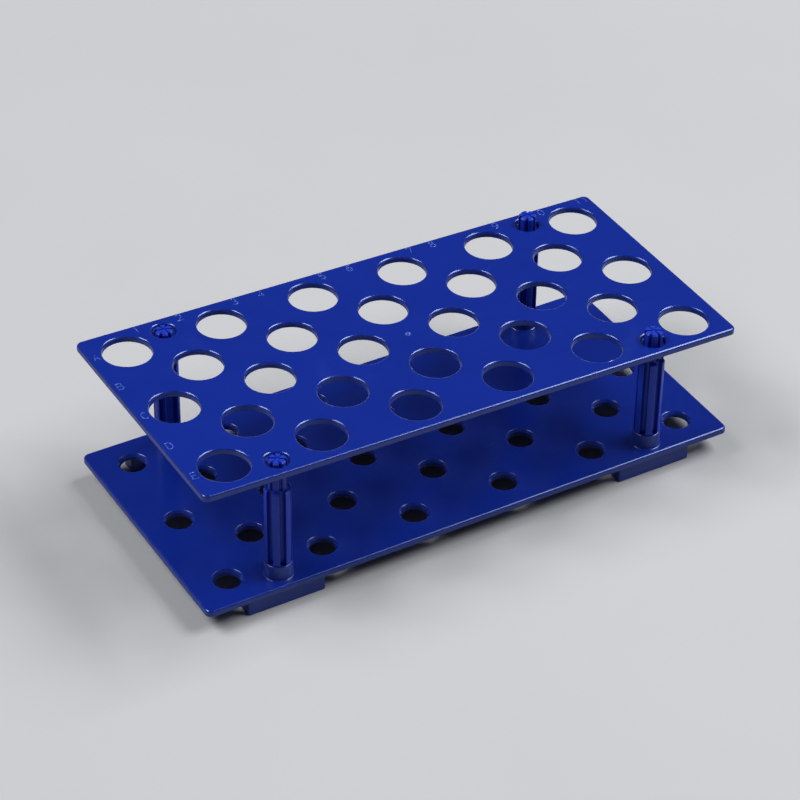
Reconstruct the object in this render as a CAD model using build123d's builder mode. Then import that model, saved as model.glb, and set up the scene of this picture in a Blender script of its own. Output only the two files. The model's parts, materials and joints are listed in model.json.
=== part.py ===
from build123d import *
import os
from math import hypot

os.makedirs("parts", exist_ok=True)

# Test tube rack: two equal plates held one above the other by four fluted posts.
# Sizes are in millimetres. The origin is on the surface the rack stands on, under
# the middle of the base plate: +X runs along the plates, +Y to the back, +Z up.

# Both plates
plate_length = 353.0
plate_width = 165.0
plate_thickness = 4.0
corner_radius = 4.0
top_edge_radius = 1.4
lower_edge_radius = 0.4

# Tube positions: five rows, A at the back to E at the front. Rows A, C and E have
# holes in the odd columns, rows B and D in the even ones, so the rows are staggered.
column_pitch = 30.6
row_pitch = 30.5
odd_columns = 6
even_columns = 5
rows_with_odd = 3
rows_with_even = 2
tube_hole_radius = 14.75
tip_hole_radius = 7.7
funnel_radius = 9.1
funnel_angle = 82.0
funnel_edge_radius = 0.8

# Posts: the same either way up, with a lobed neck at each end whose flutes carry on
# across the end face as grooves
post_x = 125.0
post_y = 70.0
body_radius = 7.9
body_length = 52.0
body_bevel = 0.7
body_flute_width = 3.6
body_flute_depth = 3.5
neck_radius = 5.4
neck_length = 20.0
neck_bevel = 0.9
neck_flute_width = 1.9
neck_flute_depth = 1.7
flute_count = 6
lobe_edge_radius = 0.35
end_groove_width = 1.0
end_groove_depth = 0.8

# Base plate: feet below, collars above, a socket through each pair
foot_length = 50.0
foot_width = 11.0
foot_height = 11.0
foot_y = 74.8
foot_wall = 2.4
foot_corner_radius = 1.5
foot_edge_radius = 0.5
collar_radius = 8.4
collar_height = 10.0
collar_root_radius = 0.8
collar_lip_radius = 0.7
socket_clearance = 0.05

# Top plate: a counterbored hole with a short boss below it for each post neck
seat_radius = 7.2
seat_depth = 2.2
boss_radius = 8.0
boss_height = 3.5
boss_edge_radius = 0.4
bore_clearance = 0.25

# The top plate is pushed further down the posts at its right end than at its left
top_surface_height = 93.0
top_plate_tilt = 1.43

# Edges this close to a place are the ones there
near = 0.01

# Heights above the surface the rack stands on
base_top = foot_height + plate_thickness
collar_top = base_top + collar_height
post_middle = collar_top + body_length / 2

base_plane = Plane.XY.offset(base_top)
top_plane = Plane.XY.offset(top_surface_height).rotated((0, top_plate_tilt, 0))
top_plane_up = Axis(top_plane.origin, top_plane.z_dir)

rows_a_c_e = GridLocations(2 * column_pitch, 2 * row_pitch, odd_columns, rows_with_odd)
rows_b_d = GridLocations(2 * column_pitch, 2 * row_pitch, even_columns, rows_with_even)
at_posts = GridLocations(2 * post_x, 2 * post_y, 2, 2)
at_feet = GridLocations(2 * post_x, 2 * foot_y, 2, 2)

# Each post stands at its own turn about its axis
post_turns = {
    "post_front_left": (-post_x, -post_y, 24.0),
    "post_front_right": (post_x, -post_y, 36.0),
    "post_back_left": (-post_x, post_y, 44.0),
    "post_back_right": (post_x, post_y, 55.0),
}


# Top plate
with BuildPart(top_plane) as top_plate:
    with BuildSketch(top_plane):
        RectangleRounded(plate_length, plate_width, corner_radius)
        with rows_a_c_e:
            Circle(tube_hole_radius, mode=Mode.SUBTRACT)
        with rows_b_d:
            Circle(tube_hole_radius, mode=Mode.SUBTRACT)
    extrude(amount=-plate_thickness)
    fillet(top_plate.faces().sort_by(top_plane_up)[0].edges(), lower_edge_radius)
    with BuildSketch(top_plane.offset(-plate_thickness)):
        with at_posts:
            Circle(boss_radius)
    extrude(amount=-boss_height)
    boss_ends = top_plate.faces().sort_by(top_plane_up)[: len(post_turns)]
    fillet(boss_ends.edges(), boss_edge_radius)
    with at_posts:
        CounterBoreHole(neck_radius + bore_clearance, seat_radius, seat_depth)
    fillet(top_plate.faces().sort_by(top_plane_up)[-1].edges(), top_edge_radius)
top_plate.part.label = "top_plate"
export_step(top_plate.part, "parts/top_plate.step")


# Base plate with its collars and feet
with BuildPart(base_plane) as base_plate:
    with BuildSketch(base_plane):
        RectangleRounded(plate_length, plate_width, corner_radius)
    extrude(amount=-plate_thickness)
    fillet(base_plate.edges().group_by(Axis.Z)[0], lower_edge_radius)
    fillet(base_plate.edges().group_by(Axis.Z)[-1], top_edge_radius)

    # Feet: a bar under each post, open underneath, with a boss round the socket
    with BuildSketch(Plane.XY):
        with at_feet:
            RectangleRounded(foot_length, foot_width, foot_corner_radius)
    extrude(amount=foot_height)
    fillet(base_plate.edges().group_by(Axis.Z)[0], foot_edge_radius)
    with BuildSketch(Plane.XY):
        with at_feet:
            Rectangle(foot_length - 2 * foot_wall, foot_width - 2 * foot_wall)
    extrude(amount=foot_height, mode=Mode.SUBTRACT)
    with BuildSketch(Plane.XY):
        with at_posts:
            Circle(collar_radius)
    extrude(amount=foot_height)

    # Collars that the post bodies stand on
    with BuildSketch(base_plane):
        with at_posts:
            Circle(collar_radius)
    extrude(amount=collar_height)
    fillet(base_plate.edges().group_by(Axis.Z)[-1], collar_lip_radius)
    on_base_top = base_plate.edges().filter_by_position(Axis.Z, base_top - near, base_top + near)
    circles = on_base_top.filter_by(GeomType.CIRCLE)
    collar_roots = circles.filter_by(lambda edge: abs(edge.radius - collar_radius) < near)
    fillet(collar_roots, collar_root_radius)

    with Locations(Plane.XY.offset(collar_top)):
        with at_posts:
            Hole(neck_radius + socket_clearance)
    with rows_a_c_e:
        CounterSinkHole(tip_hole_radius, funnel_radius, plate_thickness, funnel_angle)
    with rows_b_d:
        CounterSinkHole(tip_hole_radius, funnel_radius, plate_thickness, funnel_angle)
    circles = base_plate.edges().filter_by(GeomType.CIRCLE)
    funnel_rims = circles.filter_by(lambda edge: abs(edge.radius - funnel_radius) < near)
    fillet(funnel_rims, funnel_edge_radius)
base_plate.part.label = "base_plate"
export_step(base_plate.part, "parts/base_plate.step")


# Posts
neck_end = body_length / 2 + neck_length
shoulder = body_length / 2


def upright_edges(part, plane, radius):
    """The part's upright edges that stand at this distance from the plane's axis."""
    found = ShapeList()
    for edge in part.edges().filter_by(Axis.Z):
        centre = plane.to_local_coords(edge.center())
        if abs(hypot(centre.X, centre.Y) - radius) < near:
            found.append(edge)
    return found


for name, (x, y, turn) in post_turns.items():
    post_plane = Plane((x, y, post_middle)).rotated((0, 0, turn))
    side_plane = Plane(post_plane.origin, x_dir=post_plane.x_dir, z_dir=-post_plane.y_dir)
    with BuildPart(post_plane) as post:
        # Round pin: a thick body with a bevelled neck at each end
        with BuildSketch(side_plane):
            with BuildLine():
                Polyline(
                    (0, 0),
                    (body_radius, 0),
                    (body_radius, shoulder - body_bevel),
                    (body_radius - body_bevel, shoulder),
                    (neck_radius, shoulder),
                    (neck_radius, neck_end - neck_bevel),
                    (neck_radius - neck_bevel, neck_end),
                    (0, neck_end),
                    close=True,
                )
            make_face()
        revolve(axis=Axis(post_plane.origin, (0, 0, 1)))
        mirror(about=post_plane)

        # Flutes along the body
        with BuildSketch(post_plane):
            with PolarLocations(body_radius, flute_count):
                SlotOverall(2 * body_flute_depth, body_flute_width)
        extrude(amount=shoulder, both=True, mode=Mode.SUBTRACT)

        # Flutes along both necks
        for side in (1, -1):
            with BuildSketch(post_plane.offset(side * shoulder)):
                with PolarLocations(neck_radius, flute_count):
                    SlotOverall(2 * neck_flute_depth, neck_flute_width)
            extrude(amount=side * neck_length, mode=Mode.SUBTRACT)

        # Soften the edges of the lobes, which run the length of the body and necks
        for lobe_radius in (body_radius, neck_radius):
            fillet(upright_edges(post.part, post_plane, lobe_radius), lobe_edge_radius)

        # Grooves across both end faces, from flute to flute
        for side in (1, -1):
            with BuildSketch(post_plane.offset(side * neck_end)):
                with PolarLocations(0, flute_count // 2, angular_range=180):
                    Rectangle(2 * neck_radius, end_groove_width)
            extrude(amount=-side * end_groove_depth, mode=Mode.SUBTRACT)
    post.part.label = name
    export_step(post.part, f"parts/{name}.step")
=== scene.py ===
import json
from math import cos, pi, radians, sin

import bmesh
import bpy
from mathutils import Matrix, Vector


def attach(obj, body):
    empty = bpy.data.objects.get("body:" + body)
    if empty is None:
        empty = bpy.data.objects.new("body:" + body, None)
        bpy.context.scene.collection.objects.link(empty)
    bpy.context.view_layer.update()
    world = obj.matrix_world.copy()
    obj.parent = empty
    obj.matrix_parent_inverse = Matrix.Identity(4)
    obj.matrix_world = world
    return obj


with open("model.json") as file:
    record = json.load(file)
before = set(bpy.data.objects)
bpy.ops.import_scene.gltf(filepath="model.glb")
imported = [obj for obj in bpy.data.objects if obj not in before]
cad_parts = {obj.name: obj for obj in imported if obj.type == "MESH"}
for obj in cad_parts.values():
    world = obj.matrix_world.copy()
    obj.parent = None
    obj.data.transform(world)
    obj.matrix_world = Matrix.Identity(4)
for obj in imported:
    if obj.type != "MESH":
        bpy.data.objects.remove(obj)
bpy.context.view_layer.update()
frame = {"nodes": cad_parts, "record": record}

# A blue plastic test tube rack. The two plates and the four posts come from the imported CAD. This
# script gives them their moulded plastic and adds what the mould left on them: the row letters and
# column numerals, the broken-off gate, and slivers of flash in some of the holes. Sizes are in
# millimetres unless a comment says otherwise, and mm turns them into Blender's metres.

mm = 0.001

# Sizes the CAD gives the plates, for marks that follow their holes
column_pitch = 30.6
row_pitch = 30.5
tube_hole_radius = 14.75
funnel_radius = 9.1
top_edge_radius = 1.4
plate_thickness = 4.0
middle_column = 6
middle_row = 2

# Column numerals along the back edge and row letters down the left edge. The shifts are how far each
# one stands from the line of its column or row. Gaps and widths are shares of the height.
glyph_height = 5.8
glyph_width = 0.6
glyph_gap = 0.3
stroke_radius = 0.38
stroke_sink = 0.08
numeral_y = 77.6
letter_x = -172.0
numeral_shifts = (14, 11, 17, 4, 15, 3, 15, 0, 15, 14, 16)
letter_shifts = (2, 1, 0, -1, -1)
arc_steps = 14

# Broken-off gate at the middle of the top plate
gate_radius = 1.6
gate_height = 0.8
gate_place = (0.1, 1.4)
gate_sides = 28
# Its rings from the root up: share of the radius and share of the height
gate_profile = ((1.25, -0.1), (1.05, 0.12), (0.92, 0.5), (0.8, 0.85), (0.35, 1.0))

# Slivers of flash in the tube holes: how far they reach over the hole and sink into its wall, their
# rise for each millimetre of reach, their thickness at the root, and how finely they are cut up
flash_reach = 1.0
flash_sunk = 0.25
flash_bend = 0.7
flash_root = 0.3
flash_steps_per_degree = 0.9
flash_least_steps = 6
# For each, the hole's column and row, the height of its root over the plate's surface, and the angles
# it runs between, in degrees round the hole
flash_slivers = (
    (3, 0, -plate_thickness, 68, 90),
    (3, 0, -plate_thickness, 45, 61),
    (3, 2, -top_edge_radius, 65, 82),
    (3, 2, -top_edge_radius, 52, 63),
    (3, 2, -0.7, 132, 138),
    (1, 0, -top_edge_radius, 54, 62),
    (2, 3, -plate_thickness, 150, 162),
)

# Camera, set to the photograph's view: angles in degrees, distance and aim in metres, lens in
# millimetres
camera_azimuth = -30.494
camera_elevation = 36.879
camera_roll = 0.852
camera_distance = 1.7989
camera_aim = Vector((-0.00976, -0.00726, 0.054))
camera_lens = 137.2

# Soft boxes, all at one distance in metres: azimuth from the camera's, elevation, size in metres and
# power in watts
soft_box_distance = 6.0
soft_boxes = {
    "soft_box_left": (-88, 54, (3.4, 2.4), 375.0),
    "soft_box_right": (108, 50, (5.0, 2.4), 520.0),
}

# Floor's half width in metres
floor_half = 9.0

# Colours, linear
plate_blue = (0.003, 0.0135, 0.168, 1.0)
# Posts: a lighter copy of the plates' blue, painted light for the lamps that the top plate shades off
# them
post_blue_painted_lit = (0.0043, 0.021, 0.295, 1.0)
# Paler blue for scuffs and nicks, and for the painted highlight on the raised marks and flash
scuff_and_glint_blue = (0.05, 0.1, 0.42, 1.0)
floor_grey = (0.325, 0.325, 0.33, 1.0)
floor_light = (0.355, 0.355, 0.36, 1.0)
specular_blue = (0.6, 0.75, 1.0, 1.0)
horizon_grey = (0.2, 0.203, 0.208, 1.0)
overhead_grey = (0.05, 0.052, 0.056, 1.0)
# Where the studio is as dark as overhead, as the sine of the elevation
overhead_from = 0.45

# Finish of the plastic: its refraction, and how strongly plates and posts reflect
plastic_ior = 1.5
plate_gloss = 0.65
post_gloss = 0.35

# How far the weld lines run from the edge of a hole
top_weld_reach = 11.0
base_weld_reach = 14.0


# ---------------------------------------------------------------- places on the top plate


def mount(name):
    """The record's mount of that name."""
    return next(m for m in frame["record"]["mounts"] if m["name"] == name)


def top_plate_matrix():
    """From plate coordinates, in metres on the top surface about its middle, to the row frame."""
    left, right = mount("tube_hole_c5"), mount("tube_hole_c7")
    across = (Vector(right["pos_m"]) - Vector(left["pos_m"])).normalized()
    up = Vector(left["axis"])
    below_surface = left["dims"]["length_mm"] / 2 + top_edge_radius
    middle = (Vector(left["pos_m"]) + Vector(right["pos_m"])) / 2 + up * below_surface * mm
    turn = Matrix((across, up.cross(across), up)).transposed().to_4x4()
    return Matrix.Translation(middle) @ turn


plate_matrix = top_plate_matrix()


def on_plate(x, y, z):
    """That place in plate millimetres, in the row frame."""
    return plate_matrix @ (Vector((x, y, z)) * mm)


def hole_centre(column, row):
    """The middle of a tube hole, in plate millimetres."""
    return (column - middle_column) * column_pitch, (middle_row - row) * row_pitch


# ---------------------------------------------------------------- node helpers


class Nodes:
    """Makes a material's nodes: each call adds one and returns its output, ready to feed the next."""

    def __init__(self, name):
        self.material = bpy.data.materials.new(name)
        self.material.use_nodes = True
        self.tree = self.material.node_tree
        self.tree.nodes.clear()

    def add(self, kind, settings=None, inputs=None, output=0):
        node = self.tree.nodes.new(kind)
        for key, value in (settings or {}).items():
            setattr(node, key, value)
        for key, value in (inputs or {}).items():
            self.feed(node.inputs[key], value)
        return node.outputs[output]

    def feed(self, socket, value):
        if isinstance(value, bpy.types.NodeSocket):
            self.tree.links.new(value, socket)
        else:
            socket.default_value = value

    def math(self, operation, *values):
        return self.add("ShaderNodeMath", {"operation": operation}, dict(enumerate(values)))

    def vector(self, operation, *values, output=0):
        settings = {"operation": operation}
        return self.add("ShaderNodeVectorMath", settings, dict(enumerate(values)), output)

    def scale(self, vector, factor):
        return self.add("ShaderNodeVectorMath", {"operation": "SCALE"}, {0: vector, "Scale": factor})

    def ramp(self, value, low, high, out_low=0.0, out_high=1.0):
        """value, eased from out_low at low to out_high at high."""
        settings = {"interpolation_type": "SMOOTHSTEP"}
        inputs = {0: value, 1: low, 2: high, 3: out_low, 4: out_high}
        return self.add("ShaderNodeMapRange", settings, inputs)

    def noise(self, place, scale, detail=2.0, roughness=0.5, distortion=0.0):
        inputs = {"Vector": place, "Scale": scale, "Detail": detail}
        inputs.update({"Roughness": roughness, "Distortion": distortion})
        return self.add("ShaderNodeTexNoise", inputs=inputs)

    def mix(self, factor, a, b):
        """Colours a to b by factor."""
        return self.add("ShaderNodeMix", {"data_type": "RGBA"}, {0: factor, 6: a, 7: b}, 2)

    def weighted(self, base, *parts):
        """base plus each value times its weight."""
        result = base
        for value, weight in parts:
            result = self.math("MULTIPLY_ADD", value, weight, result)
        return result

    def product(self, first, *others):
        """All the values multiplied."""
        result = first
        for value in others:
            result = self.math("MULTIPLY", result, value)
        return result

    def place(self):
        """The point's place on the unmoved rack, in millimetres."""
        return self.scale(self.add("ShaderNodeTexCoord", output=3), 1 / mm)

    def split(self, vector):
        node = self.tree.nodes.new("ShaderNodeSeparateXYZ")
        self.feed(node.inputs[0], vector)
        return node.outputs


# ---------------------------------------------------------------- plastic


def hairlines(nodes, place, angles):
    """Faint hairlines in patches: a noise drawn out along each angle, with only its crests kept."""
    layers = []
    for index, angle in enumerate(angles):
        inputs = {
            "Vector": place,
            "Location": (37.0 * index, 19.0 * index, 0),
            "Rotation": (0, 0, radians(angle)),
            "Scale": (0.03, 1.9, 0.3),
        }
        drawn_out = nodes.add("ShaderNodeMapping", {"vector_type": "POINT"}, inputs)
        crest = nodes.ramp(nodes.noise(drawn_out, 1.0, detail=1.0), 0.68, 0.76)
        patch = nodes.ramp(nodes.noise(place, 0.02 + 0.006 * index, detail=1.0), 0.53, 0.66)
        layers.append((nodes.product(crest, patch), 1.0))
    return nodes.math("MINIMUM", nodes.weighted(0.0, *layers), 1.0)


def weld_lines(nodes, place, hole_radius, reach):
    """Where the melt closed up again behind each hole: a line leading away from the gate."""
    lines = []
    # The holes are two grids of two pitches, one set half a step off the other
    step = (2 * column_pitch, 2 * row_pitch, 1.0)
    for start in ((0.0, -row_pitch, 0.0), (-column_pitch, 0.0, 0.0)):
        cell = nodes.vector("WRAP", nodes.vector("SUBTRACT", place, start), step, (0.0, 0.0, 0.0))
        local = nodes.vector("SUBTRACT", cell, (column_pitch, row_pitch, 0.0))
        centre = nodes.vector("MULTIPLY", nodes.vector("SUBTRACT", place, local), (1.0, 1.0, 0.0))
        outward = nodes.vector("NORMALIZE", centre)
        along = nodes.vector("DOT_PRODUCT", local, outward, output=1)
        off_line = nodes.split(nodes.vector("CROSS_PRODUCT", local, outward))[2]
        thin = nodes.ramp(nodes.math("ABSOLUTE", off_line), 0.08, 0.32, 1.0, 0.0)
        begun = nodes.ramp(along, hole_radius, hole_radius + 0.4)
        ended = nodes.ramp(along, hole_radius + 0.3 * reach, hole_radius + reach, 1.0, 0.0)
        lines.append((nodes.product(thin, begun, ended), 1.0))
    return nodes.weighted(0.0, *lines)


def finish_plastic(nodes, colour, roughness, height, gloss=plate_gloss):
    """A smooth material from its colour, its roughness and its height in millimetres."""
    bump = nodes.add("ShaderNodeBump", inputs={"Strength": 1.0, "Distance": mm, "Height": height})
    shader = nodes.tree.nodes.new("ShaderNodeBsdfPrincipled")
    shader.inputs["IOR"].default_value = plastic_ior
    shader.inputs["Specular IOR Level"].default_value = gloss
    shader.inputs["Specular Tint"].default_value = specular_blue
    shader.inputs["Coat Weight"].default_value = 0.0
    nodes.feed(shader.inputs["Base Color"], colour)
    nodes.feed(shader.inputs["Roughness"], roughness)
    nodes.feed(shader.inputs["Normal"], bump)
    output = nodes.tree.nodes.new("ShaderNodeOutputMaterial")
    nodes.feed(output.inputs["Surface"], shader.outputs[0])
    return nodes.material


def plate_plastic(name, hole_radius, weld_reach):
    """A flat moulded plate: flow round the gate, weld lines, orange peel, rubbed rounded edges."""
    nodes = Nodes(name)
    place = nodes.place()
    normal = nodes.split(nodes.add("ShaderNodeTexCoord", output=1))

    # Streaks in the pigment run out from the gate, and faint crescents mark the melt's front
    flat = nodes.vector("MULTIPLY", place, (1.0, 1.0, 0.0))
    distance = nodes.vector("LENGTH", flat, output=1)
    outward = nodes.scale(nodes.vector("NORMALIZE", flat), 6.0)
    fan = nodes.vector("ADD", outward, nodes.scale(place, 0.004))
    streaks = nodes.noise(fan, 1.3, detail=4.0, roughness=0.6)
    clouds = nodes.noise(place, 0.014, detail=3.0, distortion=0.8)
    pigment = nodes.noise(place, 2.6, detail=2.0)
    front = nodes.weighted(nodes.math("MULTIPLY", distance, 0.09), (nodes.noise(place, 0.02), 5.0))
    crescents = nodes.product(
        nodes.ramp(nodes.math("SINE", front), 0.86, 1.0),
        nodes.ramp(nodes.noise(place, 0.016, detail=1.0), 0.52, 0.64),
    )

    # Rounded edges catch the rubbing
    upright = nodes.math("ABSOLUTE", normal[2])
    edge = nodes.product(nodes.ramp(upright, 0.15, 0.5), nodes.ramp(upright, 0.8, 0.99, 1.0, 0.0))
    rubbed = nodes.ramp(nodes.noise(place, 0.35, detail=5.0, roughness=0.7), 0.45, 0.7)
    wear = nodes.product(edge, rubbed)
    # Walls that slid along the mould are duller than the faces that left it straight
    walls = nodes.ramp(upright, 0.08, 0.35, 1.0, 0.0)
    lines = hairlines(nodes, place, (18.0, 131.0))
    welds = weld_lines(nodes, place, hole_radius, weld_reach)

    tone = nodes.weighted(0.8, (streaks, 0.14), (clouds, 0.2), (pigment, 0.06))
    shade = nodes.scale(plate_blue[:3], tone)
    pale = nodes.weighted(0.0, (wear, 0.14), (lines, 0.03), (welds, 0.07), (crescents, 0.02))
    colour = nodes.mix(pale, shade, scuff_and_glint_blue)

    smudges = nodes.noise(place, 0.03, detail=4.0, roughness=0.6, distortion=1.2)
    grain = nodes.noise(place, 1.6, detail=3.0)
    roughness = nodes.weighted(
        0.11, (smudges, 0.1), (grain, 0.04), (lines, 0.05), (wear, 0.05), (crescents, 0.05), (walls, 0.3)
    )
    waves = nodes.noise(place, 0.03, detail=1.0)
    peel = nodes.noise(place, 0.75, detail=2.0)
    height = nodes.weighted(
        0.0, (waves, 0.05), (peel, 0.006), (grain, 0.002), (lines, -0.0015), (welds, -0.01)
    )
    return finish_plastic(nodes, colour, roughness, height)


def post_plastic(name):
    """A post: drag lines down its length from leaving the mould, and a satin grain."""
    nodes = Nodes(name)
    place = nodes.place()
    drawn_out = nodes.vector("MULTIPLY", place, (2.4, 2.4, 0.05))
    drags = nodes.noise(drawn_out, 1.0, detail=3.0, roughness=0.6)
    clouds = nodes.noise(place, 0.09, detail=2.0, distortion=0.5)
    grain = nodes.noise(place, 3.5, detail=3.0)
    nicks = nodes.ramp(nodes.noise(place, 0.8, detail=5.0, roughness=0.7), 0.62, 0.72)

    tone = nodes.weighted(0.81, (drags, 0.14), (clouds, 0.16), (grain, 0.08))
    # The posts' blue is lighter than the plates': painted light where the top plate shades the posts
    # from the lamps
    shade = nodes.scale(post_blue_painted_lit[:3], tone)
    colour = nodes.mix(nodes.math("MULTIPLY", nicks, 0.12), shade, scuff_and_glint_blue)
    roughness = nodes.weighted(0.36, (drags, 0.1), (grain, 0.08), (nicks, 0.1))
    height = nodes.weighted(0.0, (drags, 0.02), (grain, 0.006), (nicks, -0.01))
    return finish_plastic(nodes, colour, roughness, height, gloss=post_gloss)


def mark_plastic(name):
    """Raised marks and torn plastic: paler than the plate, partly a painted highlight for the light the
    thin raised plastic catches and partly rubbing.
    """
    nodes = Nodes(name)
    place = nodes.place()
    rub_and_glint = nodes.ramp(nodes.noise(place, 1.1, detail=4.0, roughness=0.7), 0.35, 0.65)
    grain = nodes.noise(place, 5.0, detail=2.0)
    # The paleness is a painted highlight on the raised strokes and flash, mottled by a noise where
    # rubbed
    colour = nodes.mix(nodes.weighted(0.25, (rub_and_glint, 0.6)), plate_blue, scuff_and_glint_blue)
    roughness = nodes.weighted(0.14, (grain, 0.15))
    return finish_plastic(nodes, colour, roughness, nodes.math("MULTIPLY", grain, 0.01))


# ---------------------------------------------------------------- pieces


def add_piece(name, mesh):
    """Puts a finished mesh in the scene, smooth, in the marks' plastic and riding on the top plate."""
    mesh.shade_smooth()
    mesh.materials.clear()
    mesh.materials.append(marks)
    piece = bpy.data.objects.new(name, mesh)
    bpy.context.scene.collection.objects.link(piece)
    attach(piece, "top")


def add_form(name, form):
    """Puts a finished bmesh in the scene as a piece."""
    mesh = bpy.data.meshes.new(name)
    form.to_mesh(mesh)
    form.free()
    add_piece(name, mesh)


def join_rings(form, rings):
    """Faces between each ring of points and the next, and one over each end."""
    for lower, upper in zip(rings, rings[1:]):
        for i in range(len(lower)):
            j = (i + 1) % len(lower)
            form.faces.new((lower[i], lower[j], upper[j], upper[i]))
    form.faces.new(rings[0][::-1])
    form.faces.new(rings[-1])


# ---------------------------------------------------------------- raised letters and numerals


def arc(centre, radii, start, end):
    """Points along part of an ellipse, angles in degrees."""
    angles = [radians(start + (end - start) * i / arc_steps) for i in range(arc_steps + 1)]
    return [(centre[0] + radii[0] * cos(a), centre[1] + radii[1] * sin(a)) for a in angles]


# Each character's strokes, in a box glyph_width wide and 1 high
strokes = {
    "0": [arc((0.3, 0.5), (0.3, 0.5), 0, 360)],
    "1": [[(0.1, 0.76), (0.32, 1.0), (0.32, 0.0)]],
    "2": [arc((0.3, 0.7), (0.29, 0.3), 165, -40) + [(0.0, 0.0), (0.6, 0.0)]],
    "3": [arc((0.28, 0.75), (0.27, 0.25), 155, -90) + arc((0.28, 0.25), (0.31, 0.25), 90, -155)],
    "4": [[(0.45, 0.0), (0.45, 1.0), (0.0, 0.3), (0.62, 0.3)]],
    "5": [[(0.54, 1.0), (0.1, 1.0), (0.06, 0.52)] + arc((0.28, 0.31), (0.31, 0.31), 125, -150)],
    "6": [arc((0.3, 0.3), (0.3, 0.3), 0, 360), arc((0.56, 0.32), (0.56, 0.68), 90, 180)],
    "7": [[(0.0, 1.0), (0.6, 1.0), (0.22, 0.0)]],
    "8": [arc((0.3, 0.76), (0.24, 0.24), 0, 360), arc((0.3, 0.26), (0.3, 0.26), 0, 360)],
    "9": [arc((0.3, 0.7), (0.3, 0.3), 0, 360), arc((0.04, 0.68), (0.56, 0.68), 0, -90)],
    "A": [[(0.0, 0.0), (0.3, 1.0), (0.6, 0.0)], [(0.11, 0.36), (0.49, 0.36)]],
    "B": [
        [(0.0, 0.52), (0.32, 0.52)],
        [(0.0, 0.0), (0.0, 1.0)]
        + arc((0.3, 0.76), (0.24, 0.24), 90, -90)
        + arc((0.3, 0.26), (0.3, 0.26), 90, -90)
        + [(0.0, 0.0)],
    ],
    "C": [arc((0.32, 0.5), (0.32, 0.5), 50, 310)],
    "D": [[(0.0, 0.0), (0.0, 1.0)] + arc((0.24, 0.5), (0.36, 0.5), 90, -90) + [(0.0, 0.0)]],
    "E": [[(0.55, 1.0), (0.0, 1.0), (0.0, 0.0), (0.55, 0.0)], [(0.0, 0.52), (0.45, 0.52)]],
}


def raised_text(name, text, x, y):
    """Beads of plastic in the shape of the text, standing half out of the top plate."""
    curve = bpy.data.curves.new(name, "CURVE")
    curve.dimensions = "3D"
    curve.bevel_depth = stroke_radius * mm
    curve.bevel_resolution = 3
    curve.use_fill_caps = True
    for index, character in enumerate(text):
        left = x - len(text) * glyph_width * glyph_height / 2
        left += index * (glyph_width + glyph_gap) * glyph_height
        for stroke in strokes[character]:
            spline = curve.splines.new("POLY")
            spline.points.add(len(stroke) - 1)
            for point, (u, v) in zip(spline.points, stroke):
                place = on_plate(left + u * glyph_height, y + (v - 0.5) * glyph_height, -stroke_sink)
                point.co = (*place, 1.0)
    holder = bpy.data.objects.new(name, curve)
    mesh = bpy.data.meshes.new_from_object(holder)
    bpy.data.objects.remove(holder)
    mesh.name = name
    add_piece(name, mesh)


# ---------------------------------------------------------------- gate and flash


def gate_stub():
    """The torn stub of the gate: rings of points, more ragged towards the top."""
    form = bmesh.new()
    rings = []
    for level, (share, height) in enumerate(gate_profile):
        ring = []
        for i in range(gate_sides):
            a = 2 * pi * i / gate_sides
            ragged = 0.16 * sin(5 * a + 1.3) + 0.12 * sin(9 * a + level) + 0.07 * sin(13 * a)
            r = gate_radius * share * (1 + 0.35 * ragged * height)
            h = gate_height * height * (1 + ragged * (level > 2))
            place = on_plate(gate_place[0] + r * cos(a), gate_place[1] + r * sin(a), h)
            ring.append(form.verts.new(place))
        rings.append(ring)
    join_rings(form, rings)
    add_form("gate_stub", form)


def flash_sliver(index, column, row, root_height, start, end):
    """A sliver of plastic squeezed out between the mould's halves: thin, ragged, bent upwards."""
    form = bmesh.new()
    middle = hole_centre(column, row)
    steps = max(flash_least_steps, int((end - start) * flash_steps_per_degree))
    rings = []
    for i in range(steps + 1):
        share = i / steps
        a = radians(start + (end - start) * share)
        swell = sin(pi * share) ** 0.6 + 0.05
        ragged = 0.7 + 0.3 * sin(17 * share + 2 * index) + 0.2 * sin(41 * share + index)
        reach = flash_reach * swell * ragged
        ring = []
        tip = (reach, flash_bend * reach + flash_root)
        for inward, lift in ((-flash_sunk, 0.0), (-flash_sunk, flash_root), tip):
            r = tube_hole_radius - inward
            place = on_plate(middle[0] + r * cos(a), middle[1] + r * sin(a), root_height + lift)
            ring.append(form.verts.new(place))
        rings.append(ring)
    join_rings(form, rings)
    add_form(f"flash_{index}", form)


# ---------------------------------------------------------------- the rack

marks = mark_plastic("mark_plastic")
finishes = {
    "top_plate": plate_plastic("top_plate_plastic", tube_hole_radius, top_weld_reach),
    "base_plate": plate_plastic("base_plate_plastic", funnel_radius, base_weld_reach),
    "post": post_plastic("moulded_post_plastic"),
}
for name, node in frame["nodes"].items():
    finish = finishes.get(name, finishes["post"])
    for index in range(len(node.data.materials)):
        node.data.materials[index] = finish

for column, shift in enumerate(numeral_shifts, start=1):
    x = (column - middle_column) * column_pitch + shift
    raised_text(f"numeral_{column}", str(column), x, numeral_y)
for row, (letter, shift) in enumerate(zip("ABCDE", letter_shifts)):
    raised_text(f"letter_{letter}", letter, letter_x, (middle_row - row) * row_pitch + shift)
gate_stub()
for index, sliver in enumerate(flash_slivers, start=1):
    flash_sliver(index, *sliver)


# ---------------------------------------------------------------- floor, light and camera


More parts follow.
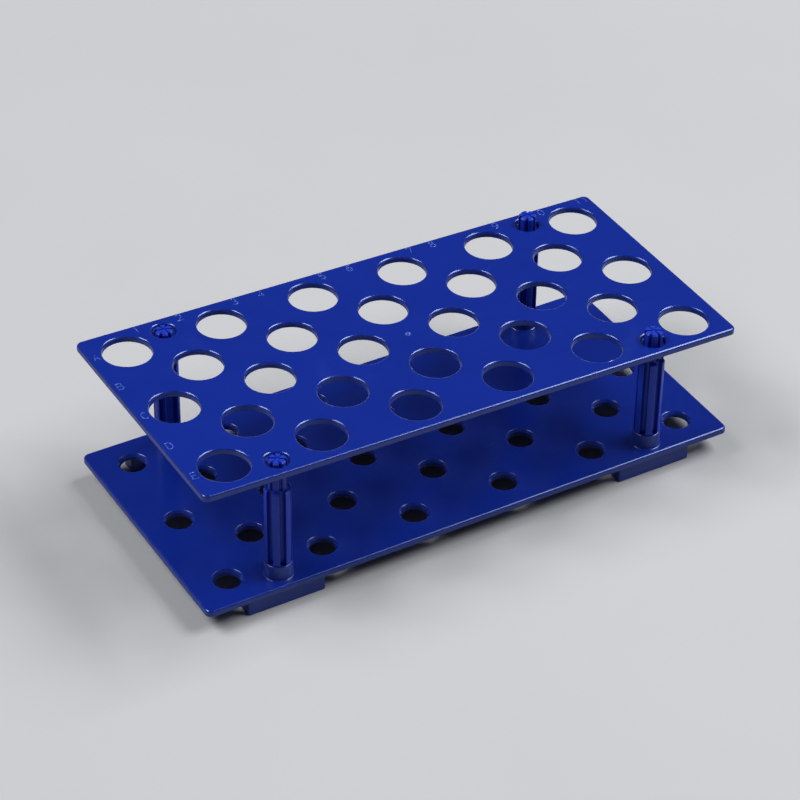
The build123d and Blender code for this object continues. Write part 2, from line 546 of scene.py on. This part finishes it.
def pale_floor():
    """A wide pale floor with the faintest mottling."""
    nodes = Nodes("floor_pale")
    place = nodes.place()
    colour = nodes.mix(nodes.noise(place, 0.004, detail=3.0), floor_grey, floor_light)
    finish_plastic(nodes, colour, 0.6, nodes.math("MULTIPLY", nodes.noise(place, 0.5), 0.05))
    mesh = bpy.data.meshes.new("floor")
    corners = [(floor_half * x, floor_half * y, 0) for x, y in ((-1, -1), (1, -1), (1, 1), (-1, 1))]
    mesh.from_pydata(corners, [], [(0, 1, 2, 3)])
    mesh.materials.append(nodes.material)
    floor = bpy.data.objects.new("floor", mesh)
    bpy.context.scene.collection.objects.link(floor)


def direction(azimuth, elevation):
    """The unit vector towards something at that azimuth and elevation, seen from the rack."""
    a, e = radians(azimuth), radians(elevation)
    return Vector((sin(a) * cos(e), -cos(a) * cos(e), sin(e)))


def soft_box(name, azimuth, elevation, size, power):
    """A rectangular lamp aimed at the rack. Its azimuth is measured from the camera's."""
    lamp = bpy.data.lights.new(name, "AREA")
    lamp.shape = "RECTANGLE"
    lamp.size, lamp.size_y = size
    lamp.energy = power
    box = bpy.data.objects.new(name, lamp)
    bpy.context.scene.collection.objects.link(box)
    back = direction(camera_azimuth + azimuth, elevation)
    box.location = back * soft_box_distance
    box.rotation_mode = "QUATERNION"
    box.rotation_quaternion = back.to_track_quat("Z", "Y")


def studio_world():
    """A dim studio: pale at the horizon and darker overhead."""
    world = bpy.data.worlds.new("studio")
    world.use_nodes = True
    tree = world.node_tree
    tree.nodes.clear()
    coords = tree.nodes.new("ShaderNodeTexCoord")
    split = tree.nodes.new("ShaderNodeSeparateXYZ")
    tree.links.new(coords.outputs["Generated"], split.inputs[0])
    ramp = tree.nodes.new("ShaderNodeValToRGB")
    ramp.color_ramp.elements[0].position = 0.0
    ramp.color_ramp.elements[0].color = horizon_grey
    ramp.color_ramp.elements[1].position = overhead_from
    ramp.color_ramp.elements[1].color = overhead_grey
    tree.links.new(split.outputs[2], ramp.inputs[0])
    background = tree.nodes.new("ShaderNodeBackground")
    tree.links.new(ramp.outputs[0], background.inputs[0])
    output = tree.nodes.new("ShaderNodeOutputWorld")
    tree.links.new(background.outputs[0], output.inputs[0])
    bpy.context.scene.world = world


def photograph_camera():
    """The camera at the photograph's angle, height and distance."""
    data = bpy.data.cameras.new("camera")
    data.lens = camera_lens
    camera = bpy.data.objects.new("camera", data)
    bpy.context.scene.collection.objects.link(camera)
    turn = Matrix.Rotation(radians(camera_azimuth), 4, "Z")
    turn = turn @ Matrix.Rotation(radians(90 - camera_elevation), 4, "X")
    turn = turn @ Matrix.Rotation(radians(camera_roll), 4, "Z")
    back = direction(camera_azimuth, camera_elevation)
    camera.matrix_world = Matrix.Translation(camera_aim + back * camera_distance) @ turn
    bpy.context.scene.camera = camera


pale_floor()
for name, (azimuth, elevation, size, power) in soft_boxes.items():
    soft_box(name, azimuth, elevation, size, power)
studio_world()
photograph_camera()
bpy.context.scene.view_settings.view_transform = "Standard"
